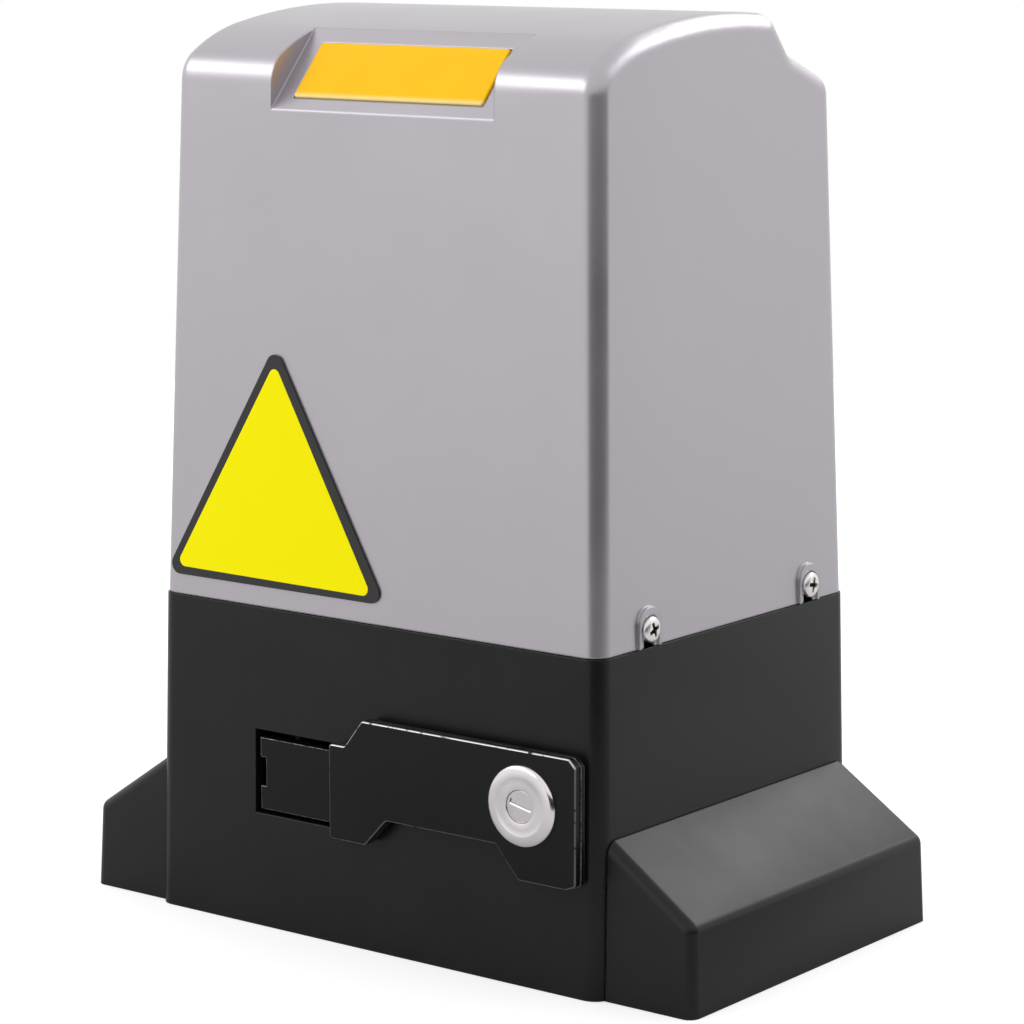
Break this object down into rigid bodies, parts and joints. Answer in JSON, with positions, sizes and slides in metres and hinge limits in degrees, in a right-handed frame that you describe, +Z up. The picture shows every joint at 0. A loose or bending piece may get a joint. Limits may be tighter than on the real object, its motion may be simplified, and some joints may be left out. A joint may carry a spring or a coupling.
{
  "type": "sliding gate motor",
  "caption": "Floor-mounted motor unit for a sliding gate: gear casing with foot covers, moulded top cover, locked release lever, worm drive, dog clutch and rack pinion.",
  "frame": {"origin": "on the ground under the middle of the casing, on the sump plate's lower face", "axes": "+X to the right seen from the front, +Y to the rear where the pinion is, +Z up"},
  "size_m": [0.2898, 0.2198, 0.3468],
  "materials": {
    "casing_black": "satin black paint on cast aluminium",
    "cover_grey": "satin silver-grey moulded plastic",
    "foot_black": "satin black moulded plastic",
    "badge_orange": "glossy domed orange",
    "sign_yellow": "yellow film with a black border",
    "screw_steel": "zinc-plated steel",
    "lever_black": "black paint, worn at the edges",
    "lock_chrome": "polished",
    "shaft_steel": "turned and ground steel",
    "gear_steel": "milled steel",
    "wheel_bronze": "cast bronze",
    "seal_rubber": "matt black",
    "sheet_zinc": "zinc-plated sheet",
    "bell_aluminium": "die cast",
    "stack_steel": "varnished steel sheets",
    "copper_wire": "enamelled wire",
    "fan_plastic": "moulded",
    "board_green": "solder mask",
    "relay_plastic": "moulded",
    "terminal_green": "moulded",
    "can_black": "sleeved can",
    "can_white": "moulded",
    "core_dark": "varnished steel sheets",
    "spool_yellow": "taped winding",
    "spacer_white": "nylon",
    "button_red": "moulded",
    "limit_black": "moulded",
    "spring_steel": "drawn wire"
  },
  "bodies": {
    "casing": {"gearbox_housing": "casing_black", "fixing_flanges": "casing_black", "sump_plate": "casing_black", "sump_screws": "screw_steel", "top_cover": "cover_grey", "cover_screws": "screw_steel", "badge_plate": "badge_orange", "sign_plate": "sign_yellow", "right_foot_cover": "foot_black", "left_foot_cover": "foot_black", "front_bearing": "shaft_steel", "rear_bearing": "shaft_steel", "shaft_seal": "seal_rubber", "lower_rotor_bearing": "shaft_steel", "middle_rotor_bearing": "shaft_steel", "upper_rotor_bearing": "shaft_steel", "stator_core": "stack_steel", "stator_windings": "copper_wire", "lower_end_bell": "bell_aluminium", "upper_end_bell": "bell_aluminium", "motor_bolts": "screw_steel", "hinge_pin": "lever_black", "board_shelf": "sheet_zinc", "board_spacers": "spacer_white", "control_board": "board_green", "relays": "relay_plastic", "terminal_blocks": "terminal_green", "board_capacitors": "can_black", "learn_button_base": "limit_black", "run_capacitor": "can_white", "capacitor_clamp": "sheet_zinc", "transformer_core": "core_dark", "transformer_winding": "spool_yellow", "limit_switch": "limit_black"},
    "rotor": {"worm_shaft": "gear_steel", "rotor_core": "stack_steel", "motor_fan": "fan_plastic"},
    "output": {"output_shaft": "shaft_steel", "spring_sleeve": "shaft_steel", "output_pinion": "gear_steel", "pinion_key": "shaft_steel", "pinion_washer": "screw_steel", "pinion_bolt": "screw_steel", "worm_wheel": "wheel_bronze"},
    "clutch": {"clutch_ring": "gear_steel", "release_pin": "shaft_steel", "cross_pin": "shaft_steel", "clutch_spring": "spring_steel"},
    "lever": {"release_tongue": "lever_black", "release_lever": "lever_black", "lever_back_plate": "lever_black", "lock_ring": "lock_chrome"},
    "lock": {"lock_plug": "lock_chrome", "lock_cam": "sheet_zinc"},
    "limit": {"limit_arm": "spring_steel"},
    "button": {"learn_button": "button_red"}
  },
  "joints": [
    {"name": "release_lever_swing", "type": "hinge", "parent": "casing", "child": "lever", "pos_m": [-0.04, -0.074, 0.0605], "axis": [0, 0, -1], "range_deg": [0, 90]},
    {"name": "lock_turn", "type": "hinge", "parent": "lever", "child": "lock", "pos_m": [0.0775, -0.08, 0.0692], "axis": [0, 1, 0], "range_deg": [0, 90]},
    {"name": "rotor_spin", "type": "hinge", "parent": "casing", "child": "rotor", "pos_m": [0, 0.005, 0.12], "axis": [0, 0, 1], "continuous": true},
    {"name": "output_spin", "type": "hinge", "parent": "casing", "child": "output", "pos_m": [-0.04, 0.005, 0.0605], "axis": [0, 1, 0], "continuous": true},
    {"name": "clutch_slide", "type": "slide", "parent": "output", "child": "clutch", "axis": [0, 1, 0], "range_m": [0, 0.005], "deforming": ["clutch_spring"]},
    {"name": "limit_arm_tilt", "type": "hinge", "parent": "casing", "child": "limit", "pos_m": [0.024, 0.08858, 0.108], "axis": [0, 1, 0], "range_deg": [-30, 30], "stiffness_Nm_per_rad": 0.05},
    {"name": "learn_button_press", "type": "slide", "parent": "casing", "child": "button", "axis": [0, 0, -1], "range_m": [0, 0.0005], "stiffness_N_per_m": 800}
  ],
  "couplings": [
    {"joint": "output_spin", "follows": "rotor_spin", "ratio": 0.033333},
    {"joint": "clutch_slide", "follows": "release_lever_swing", "m_per_rad": 0.00318}
  ]
}
